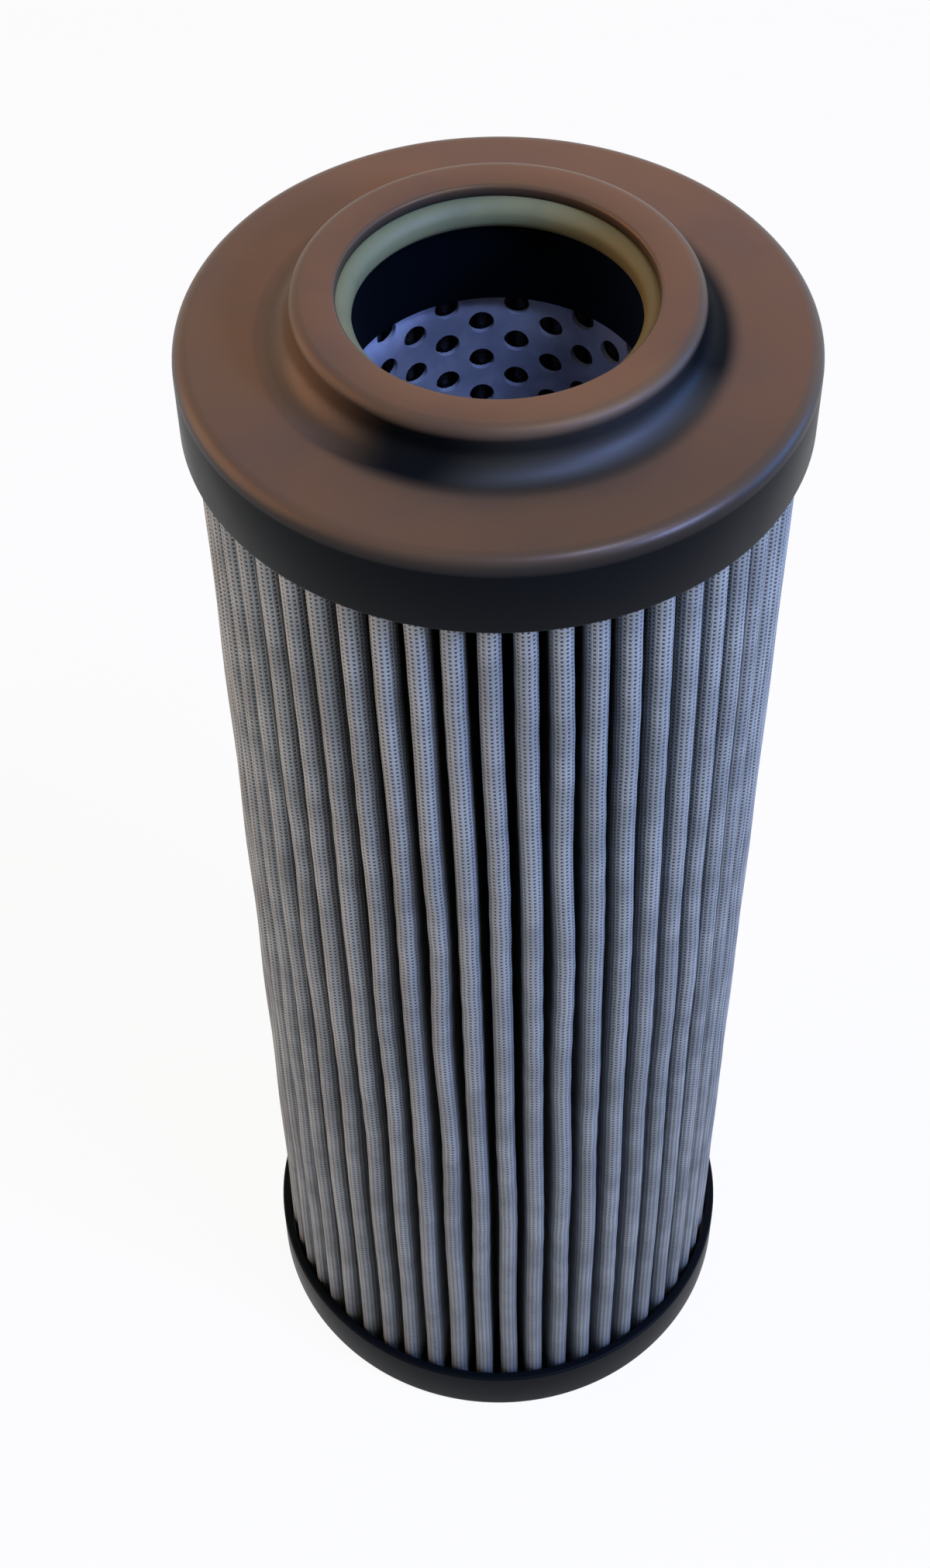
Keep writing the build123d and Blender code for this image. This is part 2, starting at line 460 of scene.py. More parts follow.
@dataclass(frozen=True)
class SealRubber(Finish):
    """Nitrile rubber, compression moulded, pale grey-green.

    It is matte, with a dusty bloom that changes its tone slowly round the ring. It turns olive towards +X.
    """

    name: str = "nitrile_rubber"
    slot: str = "seal_rubber"
    colour: str = "#84845a"
    bloom_colour: str = "#747854"
    olive_colour: str = "#6e6034"
    bloom: float = 6.0 * MM
    bloomed: Point = (0.4, 0.7)             # values of the noise between which the bloom's tone sets in
    olive_span: Point = (2.0 * MM, 15.0 * MM)  # distances towards +X between which the olive tone sets in
    olive_share: float = 0.9                      # how strong it is
    grain: float = 0.2 * MM
    grain_depth: float = 0.01 * MM
    roughness: float = 0.55
    refraction: float = 1.52
    shine: float = 0.3                      # specular level

    def draw(self, add: Adder, place: NodeSocket) -> dict[str, object]:
        """Slow changes of tone under a fine grain, and an olive tone towards +X."""
        bloom = add("TexNoise", {"Vector": place, "Scale": 1 / self.bloom, "Detail": 3.0})
        rubber = two_tones(add, bloom, self.colour, self.bloom_colour, self.bloomed)
        across = add("SeparateXYZ", {0: place}, "X")
        olive_share = add("MapRange", {"Value": across, FROM: self.olive_span, "To Max": self.olive_share}, **SOFT)
        colour = add("Mix", {0: olive_share, 6: rubber, 7: linear(self.olive_colour)}, **COLOURS)
        grain = add("TexNoise", {"Vector": place, "Scale": 1 / self.grain, "Detail": 2.0})
        relief = add("Bump", {"Height": grain, "Distance": self.grain_depth, "Strength": 1.0})
        return {"Base Color": colour, "Roughness": self.roughness, "IOR": self.refraction,
                "Specular IOR Level": self.shine, "Normal": relief}


@dataclass(frozen=True)
class ZincPlatedSteel(Finish):
    """Cold-rolled steel sheet, zinc plated and blue passivated.

    Rolling leaves fine streaks along the tube, and the passivated plating is a cloudy blue-grey that scatters
    as much light as it mirrors.
    """

    name: str = "passivated_zinc"
    slot: str = "zinc_plated_steel"
    colour: str = "#ccd3e6"
    cloud_colour: str = "#a8afc6"
    cloud: float = 5.0 * MM
    streak_width: float = 0.3 * MM
    streak_length: float = 12.0 * MM
    streak_depth: float = 0.006 * MM
    gloss: Point = (0.42, 0.6)      # roughness of the smoothest and the dullest streaks
    metallic: float = 0.25

    def draw(self, add: Adder, place: NodeSocket) -> dict[str, object]:
        """Rolling streaks over cloudy plating."""
        across, along = 1 / self.streak_width, 1 / self.streak_length
        drawn_out = add("Mapping", {"Vector": place, "Scale": (across, across, along)})
        streaks = add("TexNoise", {"Vector": drawn_out, "Scale": 1.0, "Detail": 3.0})
        clouds = add("TexNoise", {"Vector": place, "Scale": 1 / self.cloud, "Detail": 3.0})
        colour = two_tones(add, clouds, self.colour, self.cloud_colour, CLUMPED)
        gloss = add("MapRange", {"Value": streaks, FROM: MOTTLED, TO: self.gloss})
        relief = add("Bump", {"Height": streaks, "Distance": self.streak_depth, "Strength": 1.0})
        return {"Base Color": colour, "Metallic": self.metallic, "Roughness": gloss, "Normal": relief}


@dataclass(frozen=True)
class WovenWire(Finish):
    """Galvanised steel wire, plain woven.

    Grey wires pass over and under each other and leave small square gaps, painted dark as the shade on the
    sheet behind. The zinc is dull, so the cloth shines softly and unevenly. The folds are painted near black
    as shade;
    towards the bottom that painted shade is spread evenly over folds and tips.
    """

    name: str = "galvanised_wire_cloth"
    slot: str = "woven_wire"
    pitch: float = 0.62 * MM    # a real mesh of 0.5 mm pitch, drawn a little coarser so that it shows
    cover: float = 0.64         # share of the pitch that a wire covers
    sway: float = 0.3           # how far a wire sinks between its crowns, of its relief
    wire_depth: float = 0.1 * MM
    gapped: Point = (0.05, 0.35)    # relief between which a gap gives way to the wire
    colour: str = "#a5aba5"
    # painted shade of the sheet behind, seen through the gaps
    patch_colour: str = "#8a908b"
    # painted shade of the pleats' folds
    gap_colour: str = "#303134"
    fold_shade_colour: str = "#0d0e12"
    fold_shade_span: Point = (29.6 * MM, 31.4 * MM)   # radii between which the folds' painted shade gives way to the lit tips
    low_evening: Point = (10.0 * MM, 160.0 * MM)  # heights between which that painted shade is spread evenly over folds and tips, most at the lower height
    low_evening_share: float = 0.88          # how far it has at the lower height
    evened: float = 0.6         # share of the cloth's colour that shows where the painted shade is spread evenly
    patch: float = 7.0 * MM
    gloss: Point = (0.42, 0.58)     # roughness of the smoothest and the dullest patches
    metallic: float = 0.3
    strength: float = 0.7           # how much of the wires' depth the light shows

    def wires(self, add: Adder, across: NodeSocket, along: NodeSocket, turn: float) -> NodeSocket:
        """Relief of one set of wires, from 0 in the gaps to 1 on the crowns.

        Args:
            add: Adds a node to the finish.
            across: Coordinate across these wires, counted in pitches.
            along: Coordinate along these wires, counted in pitches.
            turn: 0 or 1, which of the two sets comes up at a crossing.

        Returns:
            The relief.
        """
        off = add("Math", {0: across, 1: 0.5}, operation="PINGPONG")
        flank = add("Math", {0: off, 1: self.cover / 2}, operation="DIVIDE")
        square = add("Math", {0: flank, 1: flank}, operation="MULTIPLY")
        section = add("Math", {0: 1.0, 1: square}, operation="SUBTRACT", use_clamp=True)
        row = add("Math", {0: across}, operation="ROUND")
        phase = add("Math", {0: row, 1: turn}, operation="ADD")
        run = add("Math", {0: along, 1: phase}, operation="ADD")
        angle = add("Math", {0: run, 1: math.pi}, operation="MULTIPLY")
        wave = add("Math", {0: angle}, operation="COSINE")
        rise = add("Math", {0: wave, 1: self.sway, 2: 1 - self.sway}, operation="MULTIPLY_ADD")
        return add("Math", {0: section, 1: rise}, operation="MULTIPLY")

    def free_of_painted_light(self, add: Adder, place: NodeSocket) -> NodeSocket:
        """How much of the cloth's colour shows past the painted shade: little in the folds, all on the tips,
        and evened out low down.

        Args:
            add: Adds a node to the finish.
            place: Where a point lies on the element.

        Returns:
            That share, from 0 to 1.
        """
        height = add("SeparateXYZ", {0: place}, "Z")
        low_evening = add("MapRange", {"Value": height, FROM: self.low_evening, TO: (self.low_evening_share, 0.0)})
        tips = add("MapRange", {"Value": axis_distance(add, place), FROM: self.fold_shade_span}, **SOFT)
        return add("Mix", {0: low_evening, 2: tips, 3: self.evened})

    def draw(self, add: Adder, place: NodeSocket) -> dict[str, object]:
        """Two crossing sets of wires laid on the sheet's own length and height, under the folds' painted
        shade.
        """
        sheet = add("UVMap", uv_map="sheet")
        counted = add("Mapping", {"Vector": sheet, "Scale": (MM / self.pitch, MM / self.pitch, 1.0)})
        length = add("SeparateXYZ", {0: counted}, "X")
        height = length.node.outputs["Y"]
        warp = self.wires(add, length, height, 0.0)
        weft = self.wires(add, height, length, 1.0)
        relief = add("Math", {0: warp, 1: weft}, operation="MAXIMUM")
        patches = add("TexNoise", {"Vector": place, "Scale": 1 / self.patch, "Detail": 3.0})
        wire = two_tones(add, patches, self.colour, self.patch_colour, CLUMPED)
        seen = add("MapRange", {"Value": relief, FROM: self.gapped})
        # the gaps between the wires are painted dark as shade
        cloth = add("Mix", {0: seen, 6: linear(self.gap_colour), 7: wire}, **COLOURS)
        # painted shade darkens the folds, spread evenly towards the bottom
        colour = add("Mix", {0: self.free_of_painted_light(add, place), 6: linear(self.fold_shade_colour), 7: cloth}, **COLOURS)
        gloss = add("MapRange", {"Value": patches, FROM: MOTTLED, TO: self.gloss})
        bump = add("Bump", {"Height": relief, "Distance": self.wire_depth, "Strength": self.strength})
        return {"Base Color": colour, "Metallic": self.metallic, "Roughness": gloss, "Normal": bump}


@dataclass(frozen=True)
class Patterned(Finish):
    """A finish whose tone, gloss and relief all follow one noise."""

    tones: tuple[str, str]
    size: Place                 # size of the noise along each axis
    detail: float
    mottled: Point              # values of the noise between which the gloss changes
    gloss: Point                # roughness where the noise is low and where it is high
    depth: float
    metallic: float = 0.0

    def draw(self, add: Adder, place: NodeSocket) -> dict[str, object]:
        """Tones, gloss and relief from the noise."""
        counted = add("Mapping", {"Vector": place, "Scale": [1 / size for size in self.size]})
        noise = add("TexNoise", {"Vector": counted, "Scale": 1.0, "Detail": self.detail})
        gloss = add("MapRange", {"Value": noise, FROM: self.mottled, TO: self.gloss})
        relief = add("Bump", {"Height": noise, "Distance": self.depth, "Strength": 1.0})
        return {"Base Color": two_tones(add, noise, *self.tones), "Metallic": self.metallic,
                "Roughness": gloss, "Normal": relief}


@dataclass(frozen=True)
class BondedFibre(Patterned):
    """Fibres laid at random and bonded, as polyester fleece or glass fibre.

    The tangle scatters light, so the sheet is a dull off-white with darker clumps.
    """

    tones: tuple[str, str] = ("#c3c0b6", "#a7a398")
    size: Place = (0.5 * MM, 0.5 * MM, 0.5 * MM)
    detail: float = 5.0
    mottled: Point = MOTTLED
    gloss: Point = (0.92, 0.92)
    depth: float = 0.05 * MM


@dataclass(frozen=True)
class FoldedStrip(Patterned):
    """Tinned steel strip, cold rolled and folded.

    The tin is bright grey, with fine lines along the strip from the rolls.
    """

    name: str = "tinned_steel"
    slot: str = "clip_steel"
    tones: tuple[str, str] = ("#a6abb2", "#878c94")
    size: Place = (0.15 * MM, 0.15 * MM, 20.0 * MM)
    detail: float = 3.0
    mottled: Point = MOTTLED
    gloss: Point = (0.3, 0.48)
    depth: float = 0.004 * MM
    metallic: float = 1.0


@dataclass(frozen=True)
class CuredEpoxy(Patterned):
    """Epoxy, poured and cured in the cap.

    It sets black and glossy, with a slack surface that breaks its reflections.
    """

    name: str = "cured_epoxy"
    slot: str = "adhesive"
    tones: tuple[str, str] = ("#17191a", "#202425")
    size: Place = (3.0 * MM, 3.0 * MM, 3.0 * MM)
    detail: float = 2.0
    mottled: Point = (0.0, 1.0)
    gloss: Point = (0.15, 0.35)
    depth: float = 0.05 * MM
    refraction: float = 1.55

    def draw(self, add: Adder, place: NodeSocket) -> dict[str, object]:
        """Epoxy bends light a little more than the usual plastic."""
        return super().draw(add, place) | {"IOR": self.refraction}


# -------------------------------- turned pieces


@dataclass
class Section:
    """Half section of a turned piece, drawn as points of radius and height."""

    points: list[Point] = field(default_factory=list)

    def to(self, radius: float, height: float) -> "Section":
        """Draws a straight line to a point."""
        self.points.append((radius, height))
        return self

    def round(self, centre: Point, radius: float, start: float, end: float, steps: int = 8) -> "Section":
        """Draws an arc.

        Args:
            centre: Its centre, as radius and height.
            radius: Its radius.
            start: Angle of its first point, in degrees from the outward direction.
            end: Angle of its last point.
            steps: Straight stretches that it is drawn with.

        Returns:
            The section, for the next stroke.
        """
        for step in range(steps + 1):
            angle = math.radians(start + (end - start) * step / steps)
            self.points.append((centre[0] + radius * math.cos(angle), centre[1] + radius * math.sin(angle)))
        return self

    def spin(self, name: str, steps: int, closed: bool = True) -> Object:
        """Turns the section round the axis into a closed piece.

        Args:
            name: Name of the piece.
            steps: Faces round the axis.
            closed: False where the section starts and ends on the axis.

        Returns:
            The turned piece, smooth and facing outwards.
        """
        piece = add_ring(name, [Vector((r, 0, z)) for r, z in self.points], closed)
        with editing(piece):
            bpy.ops.mesh.spin(steps=steps, angle=math.tau, center=(0, 0, 0), axis=(0, 0, 1))
        face_outwards(piece)
        smooth(piece)
        return piece


@dataclass
class EndCaps:
    """The two moulded caps: flange, skirt, collar and sleeves at the top, plate, skirt and sleeve below."""

    finish: Finish
    edge_radius: float = 1.75 * MM
    skirt_wall: float = 1.2 * MM
    skirt_edge: float = 0.35 * MM
    sleeve_wall: float = 0.85 * MM
    bore_radius: float = 16.7 * MM
    mouth_radius: float = 0.45 * MM
    collar_height: float = 5.5 * MM
    collar_wall: float = 4.9 * MM
    collar_rim: float = 1.4 * MM
    collar_foot: float = 3.0 * MM
    plate: float = 2.6 * MM
    top_sleeve: float = 9.7 * MM
    groove_depth: float = 1.3 * MM
    groove_height: float = 3.8 * MM
    groove_radius: float = 18.793 * MM
    bottom_plate: float = 2.2 * MM
    bottom_sleeve: float = 5.0 * MM
    steps: int = 180

    def build_top(self) -> Object:
        """Turns the top cap from the box of its solid.

        Returns:
            The cap, without its finish.
        """
        low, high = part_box("top_end_cap")
        outer, top = high.x, high.z
        face = top - self.collar_height
        under = face - self.plate
        skirt_inner = outer - self.skirt_wall
        sleeve = self.bore_radius + self.sleeve_wall
        collar = self.bore_radius + self.collar_wall
        groove_top = top - self.groove_depth
        groove_low = groove_top - self.groove_height
        sleeve_end = face - self.top_sleeve
        foot, rim, edge = self.collar_foot, self.collar_rim, self.edge_radius
        mouth, lip = self.mouth_radius, self.skirt_edge
        section = Section()
        section.round((self.bore_radius + mouth, top - mouth), mouth, 180, 90, 4)
        section.round((collar - rim, top - rim), rim, 90, 0)
        section.round((collar + foot, face + foot), foot, 180, 270, 10)
        section.round((outer - edge, face - edge), edge, 90, 0)
        section.round((outer - lip, low.z + lip), lip, 0, -90, 3)
        section.to(skirt_inner, low.z).to(skirt_inner, under).to(sleeve, under)
        section.to(sleeve, sleeve_end).to(self.bore_radius, sleeve_end)
        section.to(self.bore_radius, groove_low).to(self.groove_radius, groove_low)
        section.to(self.groove_radius, groove_top).to(self.bore_radius, groove_top)
        return section.spin("top_cap_moulding", self.steps)

    def build_bottom(self) -> Object:
        """Turns the bottom cap from the box of its solid.

        Returns:
            The cap, without its finish.
        """
        low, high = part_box("bottom_end_cap")
        outer, edge, lip = high.x, self.edge_radius, self.skirt_edge
        skirt_inner = outer - self.skirt_wall
        sleeve = self.bore_radius + self.sleeve_wall
        sleeve_end = self.bottom_plate + self.bottom_sleeve
        section = Section().to(0, low.z)
        section.round((outer - edge, low.z + edge), edge, -90, 0)
        section.round((outer - lip, high.z - lip), lip, 0, 90, 3)
        section.to(skirt_inner, high.z).to(skirt_inner, self.bottom_plate).to(sleeve, self.bottom_plate)
        section.to(sleeve, sleeve_end).to(self.bore_radius, sleeve_end)
        section.to(self.bore_radius, self.bottom_plate).to(0, self.bottom_plate)
        return section.spin("bottom_cap_moulding", self.steps, closed=False)

    def build(self) -> None:
        """Makes and dresses both caps."""
        finish_piece(self.build_top(), self.finish, "top_end_cap")
        # the bottom cap: the same plastic with no painted warm reflection
        free_of_painted_light = MouldedPolyamide("polyamide_without_painted_reflection", painted_reflection=0.0)
        finish_piece(self.build_bottom(), free_of_painted_light, "bottom_end_cap")


@dataclass
class BoreSeal:
    """The round-section ring in the collar's groove, with its flat parting land."""

    finish: Finish
    section_radius: float = 1.8 * MM
    land: float = 0.9 * MM
    steps: int = 144

    def build(self) -> None:
        """Turns the ring inside the box of its solid."""
        low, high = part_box("bore_seal_ring")
        centre = (high.x - self.section_radius, (low.z + high.z) / 2)
        opening = math.degrees(math.asin(self.land / 2 / self.section_radius))
        section = Section().round(centre, self.section_radius, 180 - opening, opening - 180, 28)
        finish_piece(section.spin("seal_ring_moulding", self.steps), self.finish, "bore_seal_ring")


# -------------------------------- folded pack


@dataclass
class Folding:
    """How the pack is folded, and how its pleats lean and wave on the finished element."""

    count: int = 53
    tip_radius: float = 1.25 * MM
    root_gap: float = 0.06 * MM
    thickness: float = 0.97 * MM
    cap_margin: float = 1.45 * MM   # from the pack's outer face to the cap's
    tube_play: float = 0.25 * MM    # from the tube to the pack's inner face
    seam_angle: float = 88.0    # degrees from +X
    lean: float = 5.1           # degrees that the foot of the pack is turned against its head
    bow: float = 3.8            # degrees that its ends fall back from an even turn, for a whole height
    slow_wave: Point = (0.10 * MM, 60.0 * MM)    # height and length of the wave that neighbours share
    own_wave: Point = (0.17 * MM, 43.0 * MM)     # of the one that each pleat has to itself
    ripple: Point = (0.05 * MM, 8.5 * MM)        # of its short one
    sink: Point = (0.22 * MM, 31.0 * MM)         # most that a tip falls back from the face, and how often
    seed: int = 20

    def __post_init__(self) -> None:
        """Reads the pack's place from its outer sheet and draws each pleat's own phase."""
        low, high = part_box("outer_support_mesh")
        tube_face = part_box("core_tube")[1].x
        self.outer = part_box("bottom_end_cap")[1].x - self.cap_margin
        self.root = tube_face + self.tube_play + self.root_gap + self.thickness
        self.foot, self.head = low.z, high.z
        self.angle = math.tau / self.count
        self.seam = math.radians(self.seam_angle)
        draw = random.Random(self.seed)
        self.phases = [draw.uniform(0, math.tau) for _ in range(self.count)]
        self.strengths = [draw.uniform(0.3, 1.0) for _ in range(self.count)]

    def tangents(self, depth: float) -> tuple[Vector, Vector]:
        """Ends of the straight flank beside a tip that lies on +X.

        Args:
            depth: Depth of the face below the pack's outer face.

        Returns:
            Where the tip's fold ends and where the next root's fold starts.
        """
        tip = Vector((self.outer - self.tip_radius, 0, 0))
        root = Vector((self.root * math.cos(self.angle / 2), self.root * math.sin(self.angle / 2), 0))
        along = (root - tip).normalized()
        across = Vector((along.y, -along.x, 0))
        lean = (self.tip_radius + self.root_gap) / (root - tip).length
        normal = along * lean + across * math.sqrt(1 - lean**2)
        return tip + normal * (self.tip_radius - depth), root - normal * (self.root_gap + depth)

    def fold(self, side: Side, depth: float, steps: int) -> list[Vector]:
        """Points round one fold, the tip on +X or the root half a pleat further, in the pack's direction.

        Args:
            side: Tip or root.
            depth: Depth of the face below the pack's outer face.
            steps: Straight stretches that the fold is drawn with.

        Returns:
            The points, with both ends.
        """
        flank_top, flank_foot = self.tangents(depth)
        if side is Side.TIP:
            centre = Vector((self.outer - self.tip_radius, 0, 0))
            radius = self.tip_radius - depth
            half = math.atan2(flank_top.y, flank_top.x - centre.x)
            middle = 0.0
        else:
            middle = self.angle / 2
            centre = Vector((math.cos(middle), math.sin(middle), 0)) * self.root
            radius = self.root_gap + depth
            arm = flank_foot - centre
            half = -abs(math.remainder(math.atan2(arm.y, arm.x) - middle - math.pi, math.tau))
            middle += math.pi
        angles = [middle - half + 2 * half * step / steps for step in range(steps + 1)]
        return [centre + Vector((math.cos(a), math.sin(a), 0)) * radius for a in angles]

    def outline(self, depth: float, tip_steps: int, root_steps: int, flank_steps: int) -> list[Vector]:
        """One face of the pack from the seam round to the seam, whose own tip stays open.

        Args:
            depth: Depth of the face below the pack's outer face.
            tip_steps: Stretches round a tip.
            root_steps: Stretches round a root.
            flank_steps: Stretches along a flank.

        Returns:
            The points in order.
        """
        tip = self.fold(Side.TIP, depth, tip_steps)
        root = self.fold(Side.ROOT, depth, root_steps)
        down = [tip[-1].lerp(root[0], step / flank_steps) for step in range(1, flank_steps)]
        up = [Vector((p.x, -p.y, 0)) for p in reversed(down)]
        points = []
        for pleat in range(self.count):
            here = self.seam + pleat * self.angle
            points += [turned(p, here) for p in ([tip[-1]] if pleat == 0 else []) + down + root]
            there = here + self.angle
            last = pleat == self.count - 1
            points += [turned(p, there) for p in up + (tip[:1] if last else tip)]
        return points

    def shift(self, place: Vector) -> Vector:
        """Where a point of the even, upright pack lies on the finished element.

        Args:
            place: Point of the even pack.

        Returns:
            The point turned by the pack's lean and moved by the waves of its pleat.
        """
        radius = math.hypot(place.x, place.y)
        angle = math.atan2(place.y, place.x)
        share = min(max((radius - self.root) / (self.outer - self.root), 0.0), 1.0)
        level = min(max((place.z - self.foot) / (self.head - self.foot), 0.0), 1.0)
        hold = math.sin(math.pi * level) ** 0.5
        pleat = round((angle - self.seam) / self.angle) % self.count
        middle = self.seam + pleat * self.angle
        phase, strength = self.phases[pleat], self.strengths[pleat]
        turns = math.tau * place.z
        wave = self.slow_wave[0] * math.sin(turns / self.slow_wave[1] + 3 * middle)
        wave += self.own_wave[0] * strength * math.sin(turns / self.own_wave[1] + phase)
        wave += self.ripple[0] * math.sin(turns / self.ripple[1] + 3 * phase)
        sink = self.sink[0] * (0.5 - 0.5 * math.sin(turns / self.sink[1] + phase * 2)) * strength
        up = 0.5 - level
        angle += math.radians(self.lean * up - self.bow * up**2) + hold * share * wave / self.outer
        radius -= sink * share * hold
        return Vector((radius * math.cos(angle), radius * math.sin(angle), place.z))

    def settle(self, piece: Object) -> None:
        """Moves every corner of an even piece of the pack to its place on the finished element."""
        for vertex in piece.data.vertices:
            vertex.co = self.shift(vertex.co)


def turned(point: Vector, angle: float) -> Vector:
    """Point turned round the axis by an angle in radians."""
    c, s = math.cos(angle), math.sin(angle)
    return Vector((point.x * c - point.y * s, point.x * s + point.y * c, point.z))


def raise_wall(piece: Object, foot: float, head: float, levels: int) -> None:
    """Extrudes an outline up into a wall of even levels.

    Args:
        piece: Outline at height 0, closed or open.
        foot: Height of the wall's lower edge.
        head: Height of its upper edge.
        levels: Rows of faces.
    """
    for vertex in piece.data.vertices:
        vertex.co.z = foot
    rise = (0, 0, (head - foot) / levels)
    with editing(piece):
        for _ in range(levels):
            bpy.ops.mesh.extrude_region_move(TRANSFORM_OT_translate={"value": rise})


@dataclass
class PleatedSheet:
    """One sheet of the folded pack."""

    node: str
    name: str
    finish: Finish
    depth: float
    thickness: float
    tip_steps: int
    root_steps: int
    flank_steps: int
    levels: int
    crease: float = 50.0        # degrees past which an edge stays sharp

    def lay_out(self, piece: Object, points: list[Vector]) -> None:
        """Writes the sheet's own length and height, in millimetres, as its UV map.

        Args:
            piece: The even wall, before its thickness.
            points: The outline that it was raised from.
        """
        lengths = {}
        run = 0.0
        for before, point in zip([points[0]] + points, points):
            run += (point - before).length
            lengths[round(point.x, 7), round(point.y, 7)] = run
        sheet = piece.data.uv_layers.new(name="sheet")
        for corner, loop in zip(sheet.data, piece.data.loops):
            place = piece.data.vertices[loop.vertex_index].co
            corner.uv = (lengths[round(place.x, 7), round(place.y, 7)] / MM, place.z / MM)

    def build(self, folding: Folding) -> None:
        """Folds, raises, thickens and settles the sheet.

        Args:
            folding: How the pack is folded.
        """
        points = folding.outline(self.depth, self.tip_steps, self.root_steps, self.flank_steps)
        piece = add_ring(self.name, points, closed=False)
        raise_wall(piece, folding.foot, folding.head, self.levels)
        while piece.data.uv_layers:
            piece.data.uv_layers.remove(piece.data.uv_layers[0])
        self.lay_out(piece, points)
        apply_modifier(piece, "SOLIDIFY", thickness=self.thickness, offset=-1.0, use_even_offset=True)
        folding.settle(piece)
        smooth(piece, self.crease)
        finish_piece(piece, self.finish, self.node)


@dataclass
class SeamClip:
    """The folded strip over the pack's two edges."""

    finish: Finish
    wall: float = 0.3 * MM
    play: float = 0.03 * MM
    leg: float = 4.0 * MM
    levels: int = 40
    corner_steps: int = 4
    crease: float = 40.0        # degrees past which an edge stays sharp

    def outline(self, folding: Folding) -> list[Vector]:
        """Section of the strip on +X, round its legs and its rounded back.

        Args:
            folding: How the pack that it grips is folded.

        Returns:
            The corners in order.
        """
        inner = folding.tip_radius + self.play
        outer = inner + self.wall
        back = folding.outer - folding.tip_radius + self.play
        end = back - self.leg
        arc = [math.pi / 2 * step / self.corner_steps for step in range(self.corner_steps + 1)]
        corner = [Vector((back + self.wall * math.cos(a), inner + self.wall * math.sin(a), 0)) for a in arc]
        half = corner + [Vector((end, outer, 0)), Vector((end, inner, 0)), Vector((back, inner, 0))]
        return half + [Vector((p.x, -p.y, 0)) for p in reversed(half)]

    def build(self, folding: Folding) -> None:
        """Raises the strip's section and leans it with the pack.

        Args:
            folding: How the pack that it grips is folded.
        """
        points = [turned(p, folding.seam) for p in self.outline(folding)]
        piece = add_ring("seam_clip_strip", points)
        raise_wall(piece, folding.foot, folding.head, self.levels)
        with editing(piece, "DESELECT"):
            bpy.ops.mesh.select_mode(type="EDGE")
            bpy.ops.mesh.select_non_manifold()
            bpy.ops.mesh.edge_face_add()
        face_outwards(piece)
        folding.settle(piece)
        smooth(piece, self.crease)
        finish_piece(piece, self.finish, "pleat_seam_clip")


# -------------------------------- core tube


@dataclass
class CoreTube:
    """Rolled tube with staggered rows of round holes all the way up."""

    finish: Finish
    wall: float = 0.6 * MM
    hole_radius: float = 1.5 * MM
    columns: int = 28
    row_pitch: float = 5.35 * MM
    first_row: float = 169.1 * MM   # height of the highest whole hole in every second column
    turn: float = -6.9              # degrees from +X to the first of these columns
    corners: int = 16               # of a hole
    crease: float = 40.0            # degrees past which an edge stays sharp

    def build(self) -> None:
        """Lays out one hole's cell, repeats it, rolls the sheet and gives it its wall."""
        low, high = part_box("core_tube")
        radius = high.x
        width = math.tau * radius / self.columns
        piece = self.cell(width)
        rows = math.ceil((high.z - low.z) / self.row_pitch) + 3
        repeats = [(rows, (0, 0, self.row_pitch)), (2, (width, 0, self.row_pitch / 2)),
                   (self.columns // 2, (2 * width, 0, 0))]
        for count, step in repeats:
            apply_modifier(piece, "ARRAY", count=count, use_relative_offset=False, use_constant_offset=True,
                           constant_offset_displace=step, use_merge_vertices=True,
                           merge_threshold=MERGE_DISTANCE)
        below = self.first_row - math.ceil((self.first_row - low.z) / self.row_pitch + 1) * self.row_pitch
        for vertex in piece.data.vertices:
            vertex.co.z += below - self.row_pitch / 2
        self.trim(piece, low.z, high.z)
        for vertex in piece.data.vertices:
            angle = (vertex.co.x - width / 2) / radius + math.radians(self.turn)
            vertex.co.x, vertex.co.y = radius * math.cos(angle), radius * math.sin(angle)
        face_outwards(piece)
        apply_modifier(piece, "SOLIDIFY", thickness=self.wall, offset=-1.0, use_even_offset=True)
        smooth(piece, self.crease)
        finish_piece(piece, self.finish, "core_tube")

    def cell(self, width: float) -> Object:
        """One hole with the sheet round it, flat in the XZ plane.

        Args:
            width: Width of a column of holes, round the tube.

        Returns:
            The cell, with its low left corner at the origin.
        """
        ring = [math.tau * i / self.corners + math.pi / 4 for i in range(self.corners)]
        middle = Vector((width / 2, 0, self.row_pitch / 2))
        hole = [middle + Vector((math.cos(a), 0, math.sin(a))) * self.hole_radius for a in ring]
        piece = add_ring("perforated_tube", hole)
        with editing(piece):
            bpy.ops.mesh.extrude_region_move(TRANSFORM_OT_translate={"value": (0, self.wall, 0)})
        for vertex in piece.data.vertices:
            if vertex.co.y < self.wall / 2:
                continue
            arm = vertex.co - middle
            arm.y = 0
            side = max(abs(arm.x), abs(arm.z))
            step_x = round(arm.x / side * 2) / 2
            step_z = round(arm.z / side * 2) / 2
            vertex.co = middle + Vector((step_x * width / 2, 0, step_z * self.row_pitch / 2))
        return piece

    def trim(self, piece: Object, foot: float, head: float) -> None:
        """Cuts the sheet off square at both ends of the tube.

        Args:
            piece: The flat sheet.
            foot: Height of the tube's lower end.
            head: Height of its upper end.
        """
        for height, above in ((foot, False), (head, True)):
            with editing(piece):
                bpy.ops.mesh.bisect(plane_co=(0, 0, height), plane_no=(0, 0, 1), clear_inner=not above,
                                    clear_outer=above)


# -------------------------------- studio


